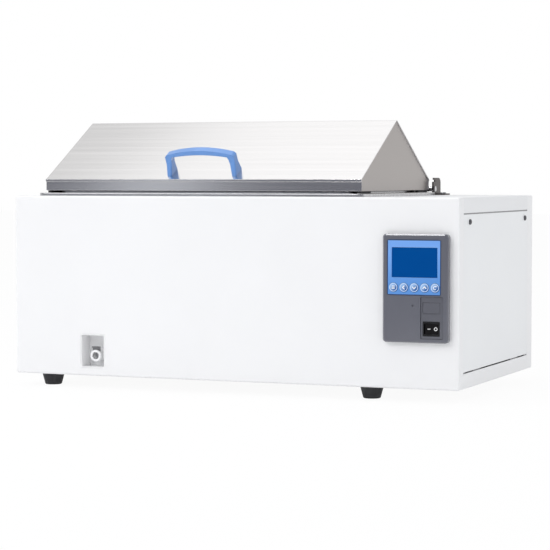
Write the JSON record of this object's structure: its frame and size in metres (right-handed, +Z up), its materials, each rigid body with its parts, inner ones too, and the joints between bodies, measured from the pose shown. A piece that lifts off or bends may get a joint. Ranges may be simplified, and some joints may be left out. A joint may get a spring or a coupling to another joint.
{
  "type": "laboratory water bath",
  "caption": "White sheet-metal bench water bath with a hinged stainless gable lid, blue handle, control panel with display and keys, rocker switch and recessed drain socket.",
  "frame": {"origin": "centre of the bounding box in X and Y, at the surface the feet stand on", "axes": "+X to the viewer's right along the front, -Y out of the front, +Z up"},
  "size_m": [0.7368, 0.4099, 0.4176],
  "materials": {
    "white_sheet": "smooth white powder coat",
    "cover_white": "smooth white powder coat",
    "stainless": "brushed stainless",
    "lid_steel": "brushed stainless",
    "lid_gable_steel": "brushed stainless",
    "zinc": "zinc plated",
    "bracket_steel": "dark plated",
    "screw_steel": "dark plated",
    "black_rubber": "matt black",
    "foam": "open foam",
    "blue_grip": "satin blue",
    "grey_bezel": "fine texture, dark blue grey",
    "blue_film": "satin blue film",
    "display_blue": "dark blue, clear front",
    "key_white": "satin light keys",
    "board_green": "solder resist",
    "black_plastic": "glossy black",
    "black_housing": "matt black",
    "insert_grey": "matt dark grey",
    "white_plastic": "white moulding",
    "latch_steel": "pressed steel",
    "valve_grey": "moulded",
    "hose_silicone": "translucent silicone",
    "aluminium": "extruded",
    "brass": "plated brass",
    "terminal_beige": "moulded",
    "lead_jacket": "silicone jacket",
    "display_frame": "matt",
    "probe_steel": "drawn stainless"
  },
  "bodies": {
    "case": {"base_pan": "white_sheet", "front_panel": "white_sheet", "rear_panel": "white_sheet", "top_deck": "white_sheet", "left_side_cover": "cover_white", "right_side_cover": "cover_white", "case_screws": "screw_steel", "cover_rails": "zinc", "seam_frames": "zinc", "rubber_feet": "black_rubber", "foot_bolts": "zinc", "tank": "stainless", "tank_jacket": "foam", "tank_rails": "zinc", "heaters": "probe_steel", "heater_saddles": "stainless", "wall_glands": "brass", "temperature_probe": "probe_steel", "overheat_cutout": "black_housing", "hinge_brackets": "bracket_steel", "hinge_pins": "probe_steel", "control_bezel": "grey_bezel", "keypad_overlay": "blue_film", "display_window": "display_blue", "display_module": "display_frame", "display_board": "board_green", "key_contacts": "black_housing", "switch_insert": "insert_grey", "blank_plate": "insert_grey", "switch_body": "black_housing", "drain_cup": "white_plastic", "drain_coupling": "white_plastic", "coupling_nut": "white_plastic", "drain_hose": "hose_silicone", "hose_clamps": "probe_steel", "divider_panel": "zinc", "control_board": "board_green", "board_parts": "black_housing", "heat_sink": "aluminium", "power_relay": "black_housing", "terminal_block": "terminal_beige", "power_inlet": "black_plastic", "inlet_pins": "brass", "small_screws": "zinc", "heater_leads": "lead_jacket"},
    "lid": {"lid_roof": "lid_steel", "lid_gables": "lid_gable_steel", "lid_bumpers": "black_rubber", "lid_handle": "blue_grip", "lid_hinge_arms": "stainless", "lid_screws": "zinc"},
    "rocker": {"switch_rocker": "black_plastic"},
    "latch": {"drain_latch": "latch_steel"},
    "poppet": {"drain_poppet": "valve_grey"},
    "tray": {"perforated_tray": "stainless"},
    "menu_key_body": {"menu_key": "key_white"},
    "left_key_body": {"left_key": "key_white"},
    "down_key_body": {"down_key": "key_white"},
    "up_key_body": {"up_key": "key_white"},
    "return_key_body": {"return_key": "key_white"}
  },
  "joints": [
    {"name": "lid_hinge", "type": "hinge", "parent": "case", "child": "lid", "pos_m": [0, 0.16567, 0.31], "axis": [-1, 0, 0], "range_deg": [0, 102]},
    {"name": "rocker_tilt", "type": "hinge", "parent": "case", "child": "rocker", "pos_m": [0.3259, -0.19614, 0.1096], "axis": [0, 0, -1], "range_deg": [0, 18]},
    {"name": "menu_press", "type": "slide", "parent": "case", "child": "menu_key_body", "axis": [0, 1, 0], "range_m": [0, 0.0006], "stiffness_N_per_m": 1000},
    {"name": "left_press", "type": "slide", "parent": "case", "child": "left_key_body", "axis": [0, 1, 0], "range_m": [0, 0.0006], "stiffness_N_per_m": 1000},
    {"name": "down_press", "type": "slide", "parent": "case", "child": "down_key_body", "axis": [0, 1, 0], "range_m": [0, 0.0006], "stiffness_N_per_m": 1000},
    {"name": "up_press", "type": "slide", "parent": "case", "child": "up_key_body", "axis": [0, 1, 0], "range_m": [0, 0.0006], "stiffness_N_per_m": 1000},
    {"name": "return_press", "type": "slide", "parent": "case", "child": "return_key_body", "axis": [0, 1, 0], "range_m": [0, 0.0006], "stiffness_N_per_m": 1000},
    {"name": "latch_slide", "type": "slide", "parent": "case", "child": "latch", "axis": [0, 0, -1], "range_m": [0, 0.0022], "stiffness_N_per_m": 400, "springref_m": -0.00015},
    {"name": "poppet_slide", "type": "slide", "parent": "case", "child": "poppet", "axis": [0, 1, 0], "range_m": [0, 0.004], "stiffness_N_per_m": 300},
    {"name": "tray_lift", "type": "slide", "parent": "case", "child": "tray", "axis": [0, 0, 1], "range_m": [0, 0.14]}
  ]
}
